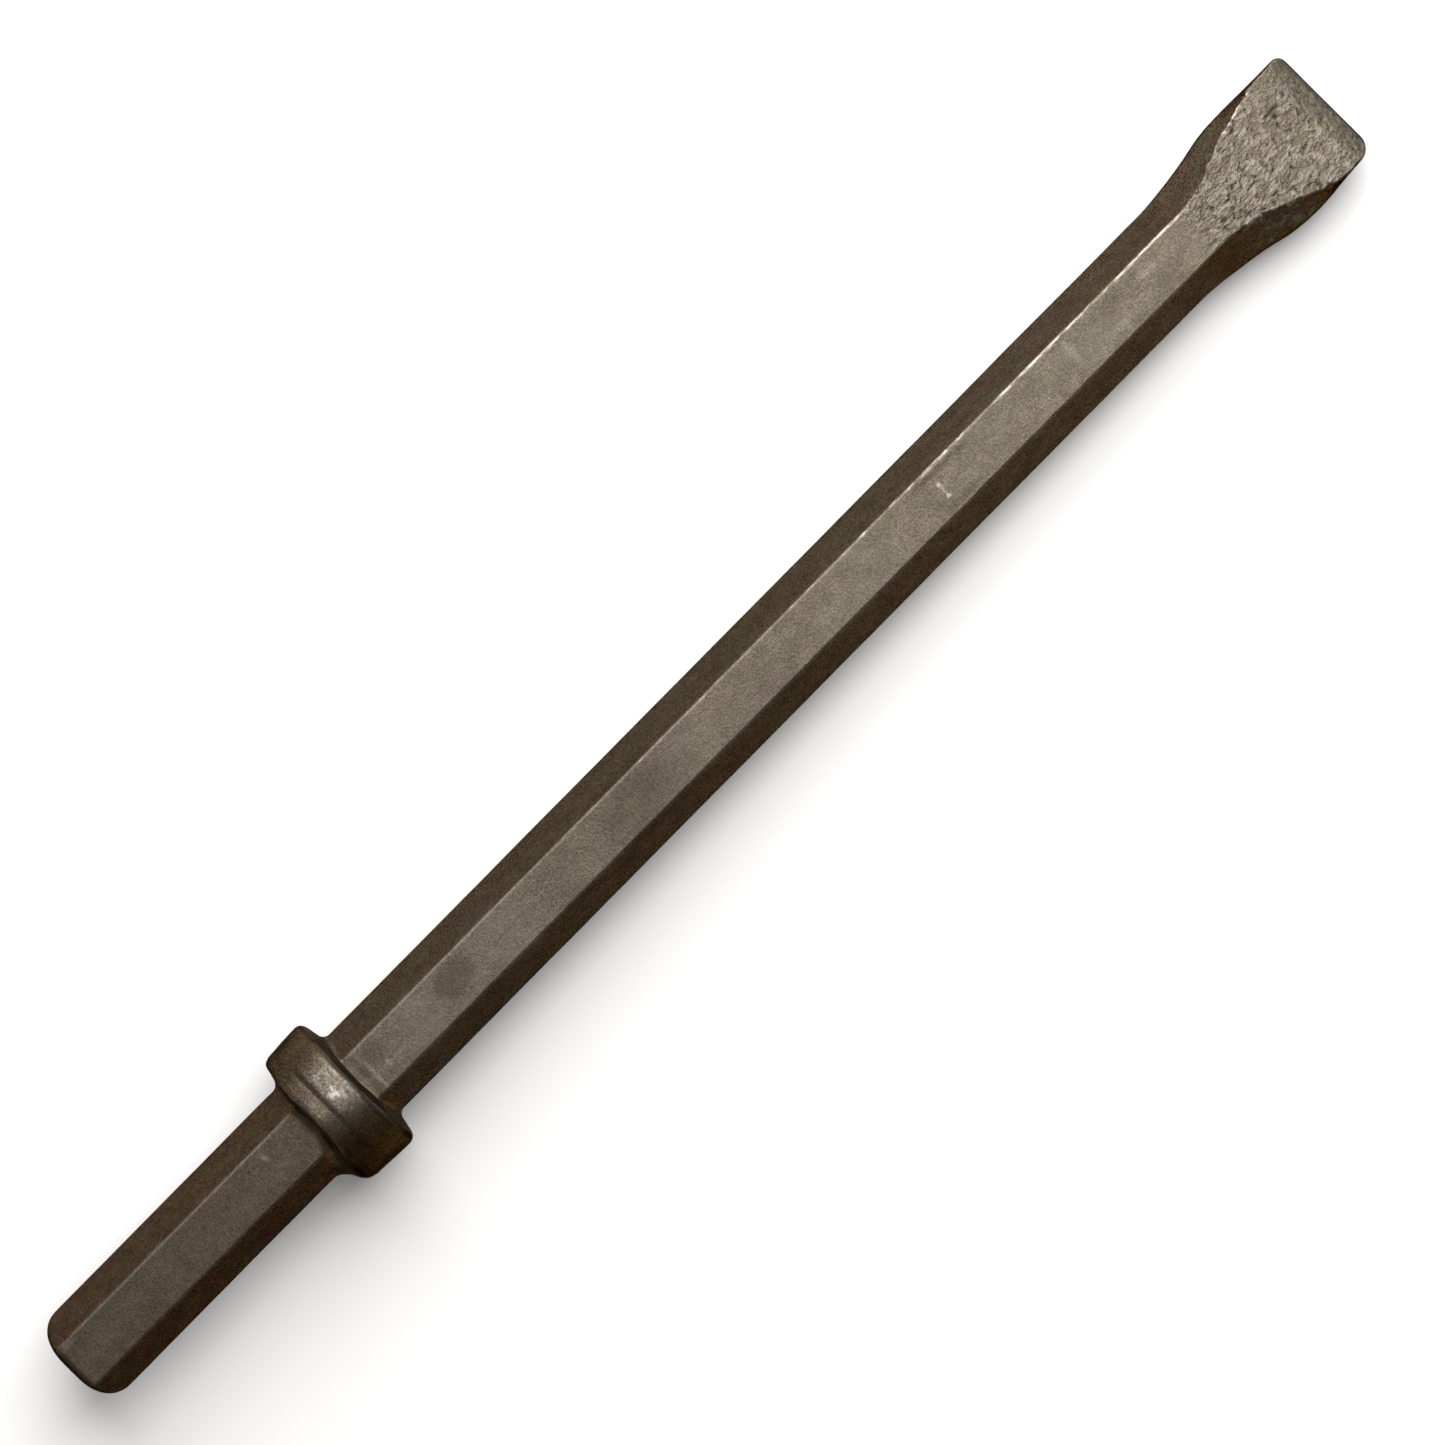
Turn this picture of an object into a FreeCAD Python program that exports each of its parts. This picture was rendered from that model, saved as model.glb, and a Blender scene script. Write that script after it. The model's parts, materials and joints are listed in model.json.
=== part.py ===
"""Collared hex-shank chisel bit for a light breaker: one steel forging, so one PartDesign body.

The bar lies along X. The origin is the centre of the struck end face, +X runs to the cutting edge,
the cutting edge is parallel to Y, and +Z is the normal of the blade's upper broad face.
"""
import FreeCAD, Part
import math
import os
import Sketcher

# Driving dimensions, in millimetres. Each becomes a cell of the sheet, with its name as the alias.
DIMENSIONS = {
    # rolled hexagonal bar
    "hex_flats": 22.2,
    "hex_corner": 1.2,
    "shank_len": 82.5,
    "total_len": 432.5,
    # struck end: a flat disc, a shallow dome round it and a turned corner
    "end_disc_rad": 3.7,
    "end_dome_rad": 36.0,
    "end_corner_rad": 7.0,
    # upset collar: a slightly conical crown between the seat face and the retainer's face
    "collar_width": 17.0,
    "seat_rad": 18.9,
    "retainer_rad": 19.95,
    "seat_corner_rad": 2.6,
    "retainer_corner_rad": 3.2,
    "seat_root_rad": 2.6,
    "retainer_root_rad": 3.4,
    # cutting edge: two ground bevels, a narrow land between them, and rounded ends
    "land_half": 0.7,
    "bevel_run": 8.0,
    "bevel_rise": 5.2,
    "tip_corner_rad": 4.2,
    "tip_corner_proud": 0.35,
}

# Cross-sections of the forged blade. In each: the distance back from the cutting edge, the half width
# of the broad face, the half width at the side ridge, the half thickness, and the radii of the broad
# face's corners and of the side ridge. The blade grows out of the bar at the neck.
SECTION_FIELDS = ("back", "face", "side", "half", "corner", "ridge")
BLADE_SECTIONS = {
    "rise": (44.0, 6.45, 13.5, 10.3, 1.3, 1.8),
    "swell": (36.0, 7.2, 14.65, 8.9, 1.4, 3.0),
    "flare": (28.0, 9.6, 16.25, 7.3, 1.5, 4.2),
    "cheek": (18.0, 13.3, 16.8, 5.4, 1.4, 3.8),
    "fan": (9.0, 15.3, 16.5, 3.85, 1.1, 2.6),
    "edge": (0.0, 15.4, 16.1, 2.4, 0.8, 1.6),
}
NECK_BACK = 53.0

BODY_NAME = "chisel"
START_POINT, END_POINT, CENTRE_POINT = 1, 2, 3  # Sketcher's numbers for the points of a curve
X_AXIS, Y_AXIS = -1, -2  # Sketcher's numbers for its axes
ORIGIN = (X_AXIS, START_POINT)
CUT_MARGIN = 5.0  # how far a cutting profile reaches past the solid


def make_sheet(doc):
    """The sheet that drives every size: a name, a plain number and an alias in each row."""
    sheet = doc.addObject("Spreadsheet::Sheet", "dims")
    rows = dict(DIMENSIONS, neck_back=NECK_BACK)
    for section, values in BLADE_SECTIONS.items():
        for field, value in zip(SECTION_FIELDS, values):
            rows[f"{section}_{field}"] = value
    for number, (alias, value) in enumerate(rows.items(), start=1):
        sheet.set(f"A{number}", alias)
        sheet.set(f"B{number}", str(value))
        sheet.setAlias(f"B{number}", alias)
    doc.recompute()
    return sheet


def new_sketch(body, name, role, offset=None):
    """A sketch on an origin plane of the body, moved along the plane's normal by a sheet expression."""
    sketch = body.newObject("Sketcher::SketchObject", name)
    plane = next(f for f in body.Origin.OriginFeatures if f.Role == role)
    sketch.AttachmentSupport = [(plane, "")]
    sketch.MapMode = "FlatFace"
    if offset:
        sketch.setExpression("AttachmentOffset.Base.z", offset)
    return sketch


def constrain(sketch, kind, *arguments):
    return sketch.addConstraint(Sketcher.Constraint(kind, *arguments))


def bind(sketch, name, expression, kind, *arguments):
    """Adds a dimension, whose last argument is its present value, and binds it to the sheet."""
    sketch.renameConstraint(constrain(sketch, kind, *arguments), name)
    sketch.setExpression(f"Constraints.{name}", expression)


def add_chain(sketch, points):
    """Adds joined straight lines through the points, and returns their numbers."""
    vectors = [FreeCAD.Vector(*point) for point in points]
    lines = [sketch.addGeometry(Part.LineSegment(a, b), False) for a, b in zip(vectors, vectors[1:])]
    for one, other in zip(lines, lines[1:]):
        constrain(sketch, "Coincident", one, END_POINT, other, START_POINT)
    return lines


def add_arc(sketch, start, end, centre, radius):
    """Adds the short arc from start to end. Returns its number and which of its points is which."""
    turn = (start - centre).cross(end - centre).z
    first, last = (start, end) if turn > 0 else (end, start)
    angles = [math.atan2(p.y - centre.y, p.x - centre.x) for p in (first, last)]
    circle = Part.Circle(centre, FreeCAD.Vector(0, 0, 1), radius)
    arc = sketch.addGeometry(Part.ArcOfCircle(circle, *angles), False)
    return (arc, START_POINT, END_POINT) if turn > 0 else (arc, END_POINT, START_POINT)


def ridge_point(face, side, half, ridge):
    """Where the two side faces would meet, if the ridge of the given radius between them were sharp."""
    offset = side - ridge - face
    angle = math.acos(ridge / math.hypot(half, offset)) - math.atan2(offset, half)
    return face + half / math.tan(angle)


def section_sketch(body, name, offset, cells, values):
    """A flattened hexagon with rounded corners: a sharp construction outline, lines on it and arcs.

    cells are the sheet expressions of the face, side, half, corner and ridge, and values their numbers.
    """
    sketch = new_sketch(body, name, "YZ_Plane", offset)
    face_cell, side_cell, half_cell, corner_cell, ridge_cell = cells
    face, side, half, corner, ridge = values
    sharp_side = ridge_point(face, side, half, ridge)
    sharp = [FreeCAD.Vector(y, z, 0) for y, z in (
        (face, half), (-face, half), (-sharp_side, 0), (-face, -half), (face, -half), (sharp_side, 0))]
    radii = [corner, corner, ridge] * 2
    left, right = 2, 5
    following = [1, 2, 3, 4, 5, 0]

    guides = [sketch.addGeometry(Part.LineSegment(sharp[i], sharp[following[i]]), True) for i in range(6)]
    for i in range(6):
        constrain(sketch, "Coincident", guides[i], END_POINT, guides[following[i]], START_POINT)
    for one, other, axis in ((0, 1, Y_AXIS), (4, 3, Y_AXIS), (0, 4, X_AXIS), (right, left, Y_AXIS)):
        constrain(sketch, "Symmetric", guides[one], START_POINT, guides[other], START_POINT, axis)
    constrain(sketch, "PointOnObject", guides[right], START_POINT, X_AXIS)

    cuts = []  # where each rounded corner starts and ends, and its centre
    for i, radius in enumerate(radii):
        before = (sharp[i - 1] - sharp[i]).normalize()
        after = (sharp[following[i]] - sharp[i]).normalize()
        half_angle = before.getAngle(after) / 2
        reach = radius / math.tan(half_angle)
        centre = sharp[i] + (before + after).normalize() * (radius / math.sin(half_angle))
        cuts.append((sharp[i] + before * reach, sharp[i] + after * reach, centre))
    lines = []
    for i in range(6):
        line = sketch.addGeometry(Part.LineSegment(cuts[i][1], cuts[following[i]][0]), False)
        constrain(sketch, "PointOnObject", line, START_POINT, guides[i])
        constrain(sketch, "PointOnObject", line, END_POINT, guides[i])
        lines.append(line)
    arcs = []
    for i, (start, end, centre) in enumerate(cuts):
        arc, first, last = add_arc(sketch, start, end, centre, radii[i])
        constrain(sketch, "Tangent", lines[i - 1], END_POINT, arc, first)
        constrain(sketch, "Tangent", lines[i], START_POINT, arc, last)
        bind(sketch, f"radius_{i}", ridge_cell if i in (left, right) else corner_cell, "Radius", arc,
             radii[i])
        arcs.append(arc)

    bind(sketch, "face", face_cell, "DistanceX", *ORIGIN, guides[0], START_POINT, face)
    bind(sketch, "half", half_cell, "DistanceY", *ORIGIN, guides[0], START_POINT, half)
    bind(sketch, "side", f"{side_cell} - ({ridge_cell})", "DistanceX", *ORIGIN, arcs[right],
         CENTRE_POINT, side - ridge)
    return sketch


def hex_side(flats, corner):
    """Half the width over the rounded corners of a hexagonal bar."""
    return flats / math.sqrt(3) - corner * (2 / math.sqrt(3) - 1)


HEX_SIDE_CELL = "dims.hex_flats / sqrt(3) - dims.hex_corner * (2 / sqrt(3) - 1)"
HEX_CELLS = ("dims.hex_flats / 2 / sqrt(3)", HEX_SIDE_CELL, "dims.hex_flats / 2", "dims.hex_corner",
             "dims.hex_corner")


def hex_values():
    flats, corner = DIMENSIONS["hex_flats"], DIMENSIONS["hex_corner"]
    return flats / 2 / math.sqrt(3), hex_side(flats, corner), flats / 2, corner, corner


def hex_bar(body):
    """The rolled bar, from the struck end to the neck of the blade."""
    pad = body.newObject("PartDesign::Pad", "bar")
    pad.Profile = section_sketch(body, "bar_section", None, HEX_CELLS, hex_values())
    pad.setExpression("Length", "dims.total_len - dims.neck_back")
    body.Document.recompute()


def forged_blade(body):
    """The drawn-out and flattened blade, lofted from the bar's own section to the cutting edge."""
    sketches = [section_sketch(body, "section_neck", "dims.total_len - dims.neck_back", HEX_CELLS,
                               hex_values())]
    for section, (_, *values) in BLADE_SECTIONS.items():
        cells = [f"dims.{section}_{field}" for field in SECTION_FIELDS[1:]]
        offset = f"dims.total_len - dims.{section}_back"
        sketches.append(section_sketch(body, f"section_{section}", offset, cells, values))
    body.Document.recompute()
    loft = body.newObject("PartDesign::AdditiveLoft", "blade")
    loft.Profile = sketches[0]
    loft.Sections = sketches[1:]
    body.Document.recompute()


def edges_in_plane(shape, x, reach, within):
    """The names of the edges that lie in the plane at x, either within reach of the axis or beyond it."""
    names = []
    for number, edge in enumerate(shape.Edges, start=1):
        box = edge.BoundBox
        if max(abs(box.XMin - x), abs(box.XMax - x)) > 0.01:
            continue
        point = edge.Vertexes[0].Point
        if (math.hypot(point.y, point.z) < reach) == within:
            names.append(f"Edge{number}")
    return names


def upset_collar(body):
    """The collar: a disc with a conical crown, blended into the bar and rounded at its rims."""
    d = DIMENSIONS
    seat_x, retainer_x = d["shank_len"], d["shank_len"] + d["collar_width"]
    sketch = new_sketch(body, "collar_profile", "XZ_Plane")
    seat, crown, retainer, core = add_chain(sketch, [
        (seat_x, 0), (seat_x, d["seat_rad"]), (retainer_x, d["retainer_rad"]), (retainer_x, 0),
        (seat_x, 0)])
    constrain(sketch, "Coincident", core, END_POINT, seat, START_POINT)
    constrain(sketch, "PointOnObject", seat, START_POINT, X_AXIS)
    constrain(sketch, "PointOnObject", retainer, END_POINT, X_AXIS)
    constrain(sketch, "Vertical", seat)
    constrain(sketch, "Vertical", retainer)
    bind(sketch, "seat_x", "dims.shank_len", "DistanceX", *ORIGIN, seat, START_POINT, seat_x)
    bind(sketch, "width", "dims.collar_width", "DistanceX", seat, START_POINT, retainer, END_POINT,
         d["collar_width"])
    bind(sketch, "seat_rad", "dims.seat_rad", "DistanceY", seat, START_POINT, seat, END_POINT,
         d["seat_rad"])
    bind(sketch, "retainer_rad", "dims.retainer_rad", "DistanceY", retainer, END_POINT, crown, END_POINT,
         d["retainer_rad"])
    revolution = body.newObject("PartDesign::Revolution", "collar")
    revolution.Profile = sketch
    revolution.ReferenceAxis = (sketch, ["H_Axis"])
    revolution.Angle = 360
    body.Document.recompute()

    bar_reach = d["hex_flats"] / math.sqrt(3)
    for name, x, within in (("seat_root", seat_x, True), ("retainer_root", retainer_x, True),
                            ("seat_corner", seat_x, False), ("retainer_corner", retainer_x, False)):
        base = body.Tip
        edges = edges_in_plane(base.Shape, x, bar_reach, within)
        fillet = body.newObject("PartDesign::Fillet", name)
        fillet.Base = (base, edges)
        fillet.setExpression("Radius", f"dims.{name}_rad")
        body.Document.recompute()


def struck_end(body):
    """Turns the struck end: cuts away all that stands outside its disc, dome and corner."""
    d = DIMENSIONS
    disc, dome, corner = d["end_disc_rad"], d["end_dome_rad"], d["end_corner_rad"]
    rim = hex_side(d["hex_flats"], d["hex_corner"])
    dome_centre = FreeCAD.Vector(math.sqrt(dome ** 2 - disc ** 2), 0, 0)
    corner_rise = rim - corner
    corner_x = dome_centre.x - math.sqrt((dome - corner) ** 2 - corner_rise ** 2)
    corner_centre = FreeCAD.Vector(corner_x, corner_rise, 0)
    start = FreeCAD.Vector(0, disc, 0)
    meet = dome_centre + (corner_centre - dome_centre).normalize() * dome
    finish = FreeCAD.Vector(corner_x, rim, 0)

    sketch = new_sketch(body, "end_profile", "XZ_Plane")
    dome_arc, dome_first, dome_last = add_arc(sketch, start, meet, dome_centre, dome)
    corner_arc, corner_first, corner_last = add_arc(sketch, meet, finish, corner_centre, corner)
    rise, top, drop, back = add_chain(sketch, [
        (corner_x, rim), (corner_x, rim + CUT_MARGIN), (-CUT_MARGIN, rim + CUT_MARGIN),
        (-CUT_MARGIN, disc), (0, disc)])
    constrain(sketch, "Tangent", dome_arc, dome_last, corner_arc, corner_first)
    constrain(sketch, "Coincident", corner_arc, corner_last, rise, START_POINT)
    constrain(sketch, "Coincident", back, END_POINT, dome_arc, dome_first)
    constrain(sketch, "PointOnObject", dome_arc, dome_first, Y_AXIS)
    constrain(sketch, "PointOnObject", dome_arc, CENTRE_POINT, X_AXIS)
    constrain(sketch, "Vertical", corner_arc, CENTRE_POINT, corner_arc, corner_last)
    constrain(sketch, "Vertical", rise)
    constrain(sketch, "Vertical", drop)
    constrain(sketch, "Horizontal", top)
    constrain(sketch, "Horizontal", back)
    constrain(sketch, "DistanceX", back, START_POINT, back, END_POINT, CUT_MARGIN)
    constrain(sketch, "DistanceY", rise, START_POINT, rise, END_POINT, CUT_MARGIN)
    bind(sketch, "dome", "dims.end_dome_rad", "Radius", dome_arc, dome)
    bind(sketch, "corner", "dims.end_corner_rad", "Radius", corner_arc, corner)
    bind(sketch, "disc", "dims.end_disc_rad", "DistanceY", *ORIGIN, dome_arc, dome_first, disc)
    bind(sketch, "rim", HEX_SIDE_CELL, "DistanceY", *ORIGIN, corner_arc, corner_last, rim)
    groove = body.newObject("PartDesign::Groove", "struck_end")
    groove.Profile = sketch
    groove.ReferenceAxis = (sketch, ["H_Axis"])
    groove.Angle = 360
    body.Document.recompute()


def cut_through(body, name, sketch):
    """Cuts the sketch's loops right through the body, to both sides of the sketch."""
    pocket = body.newObject("PartDesign::Pocket", name)
    pocket.Profile = sketch
    pocket.Type = "ThroughAll"
    pocket.SideType = "Symmetric"
    body.Document.recompute()


def rounded_tip(body):
    """Rounds both ends of the cutting edge, as seen square to the broad face."""
    d = DIMENSIONS
    tip, radius, proud = d["total_len"], d["tip_corner_rad"], d["tip_corner_proud"]
    side = dict(zip(SECTION_FIELDS, BLADE_SECTIONS["edge"]))["side"]
    sketch = new_sketch(body, "tip_profile", "XY_Plane")
    for name, sign in (("left", 1), ("right", -1)):
        nose = FreeCAD.Vector(tip + proud, sign * (side + proud - radius), 0)
        heel = FreeCAD.Vector(tip + proud - radius, sign * (side + proud), 0)
        centre = FreeCAD.Vector(heel.x, nose.y, 0)
        arc, first, last = add_arc(sketch, nose, heel, centre, radius)
        outside = sign * (side + proud + CUT_MARGIN)
        rise, top, drop = add_chain(sketch, [(heel.x, heel.y), (heel.x, outside), (nose.x, outside),
                                             (nose.x, nose.y)])
        constrain(sketch, "Coincident", arc, last, rise, START_POINT)
        constrain(sketch, "Tangent", arc, first, drop, END_POINT)
        constrain(sketch, "Vertical", rise)
        constrain(sketch, "Vertical", drop)
        constrain(sketch, "Horizontal", top)
        constrain(sketch, "Vertical", arc, CENTRE_POINT, arc, last)
        constrain(sketch, "Distance", rise, START_POINT, rise, END_POINT, CUT_MARGIN)
        bind(sketch, f"{name}_radius", "dims.tip_corner_rad", "Radius", arc, radius)
        bind(sketch, f"{name}_nose", "dims.total_len + dims.tip_corner_proud", "DistanceX", *ORIGIN,
             arc, first, nose.x)
        low, high = (ORIGIN, (arc, last))[::sign]
        bind(sketch, f"{name}_heel", "dims.edge_side + dims.tip_corner_proud", "DistanceY", *low, *high,
             side + proud)
    cut_through(body, "tip_corners", sketch)


def ground_bevels(body):
    """Grinds the two short bevels that leave the blunt land of the cutting edge."""
    d = DIMENSIONS
    tip, half, run, climb = d["total_len"], d["land_half"], d["bevel_run"], d["bevel_rise"]
    for name, sign in (("upper_bevel", 1), ("lower_bevel", -1)):
        sketch = new_sketch(body, f"{name}_profile", "XZ_Plane")
        slope, land, front, top = add_chain(sketch, [
            (tip - run, sign * (half + climb)), (tip, sign * half), (tip + CUT_MARGIN, sign * half),
            (tip + CUT_MARGIN, sign * (half + climb)), (tip - run, sign * (half + climb))])
        constrain(sketch, "Coincident", top, END_POINT, slope, START_POINT)
        constrain(sketch, "Horizontal", land)
        constrain(sketch, "Horizontal", top)
        constrain(sketch, "Vertical", front)
        constrain(sketch, "DistanceX", land, START_POINT, land, END_POINT, CUT_MARGIN)
        bind(sketch, "tip", "dims.total_len", "DistanceX", *ORIGIN, slope, END_POINT, tip)
        bind(sketch, "run", "dims.bevel_run", "DistanceX", slope, START_POINT, slope, END_POINT, run)
        low, high = (ORIGIN, (slope, END_POINT))[::sign]
        bind(sketch, "half", "dims.land_half", "DistanceY", *low, *high, half)
        low, high = ((slope, END_POINT), (slope, START_POINT))[::sign]
        bind(sketch, "climb", "dims.bevel_rise", "DistanceY", *low, *high, climb)
        cut_through(body, name, sketch)


def check_document(doc):
    """Stops with a message if any object failed or the body isn't one valid solid."""
    for obj in doc.Objects:
        if any(state in obj.State for state in ("Invalid", "Error")):
            raise RuntimeError(f"{obj.Name} failed: {obj.State}")
    for body in doc.findObjects("PartDesign::Body"):
        if body.Shape.isNull() or not body.Shape.isValid() or len(body.Shape.Solids) != 1:
            raise RuntimeError(f"{body.Label} isn't one valid solid")


def main():
    doc = FreeCAD.newDocument("chisel_bit")
    make_sheet(doc)
    body = doc.addObject("PartDesign::Body", BODY_NAME)
    body.Label = BODY_NAME
    body.Placement = FreeCAD.Placement()
    hex_bar(body)
    volumes = [body.Shape.Volume]
    for step in (forged_blade, upset_collar, struck_end, rounded_tip, ground_bevels):
        step(body)
        volumes.append(body.Shape.Volume)
        print(f"{step.__name__}: {volumes[-1] - volumes[-2]:+.1f} mm3")
    check_document(doc)
    os.makedirs("parts", exist_ok=True)
    body.Shape.exportStep(f"parts/{body.Label}.step")
    box = body.Shape.BoundBox
    print(f"{body.Label}: {box.XLength:.1f} x {box.YLength:.1f} x {box.ZLength:.1f} mm, "
          f"{volumes[-1] / 1000:.1f} cm3")


main()
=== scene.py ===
"""The visible surface of a collared hex-shank chisel bit: one forged bar of scaled, worn steel.

The bar's skin is one closed mesh of rings along X. It is worked out in millimetres and stored in metres.
"""
import json
import math

import bpy
import numpy as np
from mathutils import Matrix, Vector


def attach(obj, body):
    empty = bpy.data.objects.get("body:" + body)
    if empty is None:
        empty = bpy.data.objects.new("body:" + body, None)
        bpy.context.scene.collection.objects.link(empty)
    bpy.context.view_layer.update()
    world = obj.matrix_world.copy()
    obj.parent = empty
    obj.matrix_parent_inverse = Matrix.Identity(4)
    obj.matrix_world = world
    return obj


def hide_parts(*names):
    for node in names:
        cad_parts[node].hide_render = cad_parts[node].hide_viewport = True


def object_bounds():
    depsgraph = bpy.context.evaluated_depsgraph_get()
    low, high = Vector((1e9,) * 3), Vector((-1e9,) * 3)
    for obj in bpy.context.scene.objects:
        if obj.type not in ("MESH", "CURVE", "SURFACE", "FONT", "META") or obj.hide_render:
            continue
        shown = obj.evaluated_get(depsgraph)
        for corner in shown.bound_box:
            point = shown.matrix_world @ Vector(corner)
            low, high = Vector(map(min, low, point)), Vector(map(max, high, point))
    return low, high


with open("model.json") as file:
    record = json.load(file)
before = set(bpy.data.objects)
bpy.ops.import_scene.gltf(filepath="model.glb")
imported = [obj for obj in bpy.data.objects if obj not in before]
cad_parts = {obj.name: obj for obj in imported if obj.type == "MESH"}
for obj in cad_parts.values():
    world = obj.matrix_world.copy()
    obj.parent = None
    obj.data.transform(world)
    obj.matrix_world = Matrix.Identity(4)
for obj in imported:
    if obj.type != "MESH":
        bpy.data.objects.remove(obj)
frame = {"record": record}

CAD_LOW, CAD_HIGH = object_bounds()
MM = 0.001

# ---------------------------------------------------------------- sizes, in millimetres
MOUNT_X = {mount["name"]: mount["pos_m"][0] / MM for mount in frame["record"]["mounts"]}
SEAT_X = MOUNT_X["collar_seat"]
RETAINER_X = MOUNT_X["retainer_face"]
TIP_X = CAD_HIGH.x / MM
COLLAR_RAD = CAD_HIGH.z / MM

HEX_HALF = 11.1
HEX_CORNER = 0.8
HEX_FACE = HEX_HALF / math.sqrt(3)
HEX_SIDE = 2 * HEX_FACE - HEX_CORNER * (2 / math.sqrt(3) - 1)

DISC_RAD = 3.7
DISC_ROWS = (0.8, 1.8, 2.8)  # radii of the rows on the flat disc
DOME_RAD = 36.0
END_CORNER_RAD = 7.0
HAMMERED_IN = 1.25  # how far in the end's rounding stops at the bar's upper and lower corners
HAMMERED_FLAT = 0.42  # the share of the rounding's depth that is missing above and below
END_LENGTH = 3.0  # from the corner's centre to the last row of the end

# Blade sections by their distance back from the edge: half widths of the broad face and at the ridge,
# half thickness, corner and ridge radii, and how far face and ridge sit off the bar's axis along Y.
BLADE_SECTIONS = (
    (56.0, HEX_FACE, HEX_SIDE, HEX_HALF, HEX_CORNER, HEX_CORNER, 0.0, 0.0),
    (52.0, HEX_FACE, 12.72, 11.0, 0.8, 0.9, 0.0, -0.1),
    (44.0, 6.4, 13.5, 10.3, 0.8, 1.6, 0.0, -0.3),
    (36.0, 7.3, 14.65, 8.9, 0.8, 2.6, 0.5, -0.4),
    (28.0, 9.95, 16.25, 7.3, 0.8, 3.4, 0.9, -0.55),
    (18.0, 13.7, 16.8, 5.4, 0.7, 2.4, 0.3, -0.65),
    (11.0, 15.75, 16.5, 4.15, 0.6, 1.4, -0.2, -0.4),
    (0.0, 15.9, 16.15, 2.4, 0.5, 1.0, 0.0, 0.0),
)
LAND_HALF = 0.7
BEVEL_SLOPE = 0.52
TIP_CORNER_RADS = (2.4, 3.9)  # on the +Y and the -Y side

ROUGH_BACK = 47.0  # from the edge back to where the blade's close rows start
EDGE_BACK = 5.5  # and to where the rows crowd towards the edge

SEAM_BACK = 7.5  # from the collar's seat to the seam round its crown
# the crease is darkened by the painted shade of the pits
CREASE_X, CREASE_Y = TIP_X - 11.5, 7.7  # a dark crease in the blade's upper face

# How many vertices a quarter of a ring has on the broad face, its corner, the side and the ridge.
BAR_COUNTS = (9, 4, 12, 2)
BLADE_COUNTS = (50, 5, 12, 6)
RING_STEPS = 16  # four whole steps a quarter, one for each of those stretches
NECK_X = TIP_X - BLADE_SECTIONS[0][0]


# ---------------------------------------------------------------- noise and curves
def smooth(value, low, high):
    """0 below low, 1 above high and a smooth step between them."""
    t = np.clip((value - low) / (high - low), 0, 1)
    return t * t * (3 - 2 * t)


def band(value, low, high, soft):
    """1 between low and high, falling to 0 over the soft distance outside them."""
    return smooth(value, low - soft, low) * (1 - smooth(value, high, high + soft))


def value_noise(points, size, seed):
    """Smooth random field from -1 to 1, whose features are about size across."""
    period = 64
    lattice = np.random.default_rng(seed).uniform(-1, 1, (period, period, period))
    scaled = points / size + 1000.0
    cell = np.floor(scaled).astype(int)
    t = scaled - cell
    t = t * t * t * (t * (t * 6 - 15) + 10)
    total = 0.0
    for corner in np.ndindex(2, 2, 2):
        index = (cell + corner) % period
        weight = np.prod(np.where(corner, t, 1 - t), axis=-1)
        total = total + weight * lattice[index[..., 0], index[..., 1], index[..., 2]]
    return total


def fractal(points, size, seed, octaves=3):
    """Several octaves of noise, from about -1 to 1."""
    total, weight = 0.0, 0.0
    for octave in range(octaves):
        share = 0.5 ** octave
        total = total + share * value_noise(points, size * share, seed + octave)
        weight += share
    return total / weight * 1.5


def curve_through(x, stations, values):
    """A smooth curve through the stations: Hermite pieces with averaged slopes, level at the first."""
    stations, values = np.asarray(stations, float), np.asarray(values, float)
    slopes = np.gradient(values, stations)
    slopes[0] = 0
    i = np.clip(np.searchsorted(stations, x) - 1, 0, len(stations) - 2)
    span = stations[i + 1] - stations[i]
    t = np.clip((x - stations[i]) / span, 0, 1)
    return ((2 * t ** 3 - 3 * t ** 2 + 1) * values[i] + (t ** 3 - 2 * t ** 2 + t) * span * slopes[i]
            + (3 * t ** 2 - 2 * t ** 3) * values[i + 1] + (t ** 3 - t ** 2) * span * slopes[i + 1])


# ---------------------------------------------------------------- rings
def ring_section(face, side, half, corner, ridge, counts, crowd):
    """Closed rings of a flattened hexagon with rounded corners, one for each value in the arrays.

    A ring starts at the middle of the upper face and runs over +Y, the underside and -Y.
    """
    face, side, half, corner, ridge = (np.asarray(a, float)[:, None]
                                       for a in (face, side, half, corner, ridge))
    on_face, on_corner, on_side, on_ridge = (np.arange(n)[None, :] / n for n in counts)
    on_face = 1 - (1 - on_face) ** crowd  # columns crowd towards the corner
    offset = side - ridge - face
    lean = np.arccos(ridge / np.hypot(half, offset)) - np.arctan2(offset, half)
    flat = face - corner * np.tan(lean / 2)
    y = [on_face * flat]
    z = [np.broadcast_to(half, y[0].shape)]
    turn = on_corner * lean
    y.append(flat + corner * np.sin(turn))
    z.append(half - corner + corner * np.cos(turn))
    start = flat + corner * np.sin(lean), half - corner + corner * np.cos(lean)
    end = side - ridge + ridge * np.sin(lean), ridge * np.cos(lean)
    y.append(start[0] + on_side * (end[0] - start[0]))
    z.append(start[1] + on_side * (end[1] - start[1]))
    turn = lean + np.append(on_ridge, [[1.0]], axis=1) * (np.pi / 2 - lean)
    y.append(side - ridge + ridge * np.sin(turn))
    z.append(ridge * np.cos(turn))
    y, z = np.concatenate(y, axis=1), np.concatenate(z, axis=1)
    over, under = slice(0, -1), slice(None, 0, -1)
    ring_y = np.concatenate([y[:, over], y[:, under], -y[:, over], -y[:, under]], axis=1)
    ring_z = np.concatenate([z[:, over], -z[:, under], -z[:, over], z[:, under]], axis=1)
    return ring_y, ring_z


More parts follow.
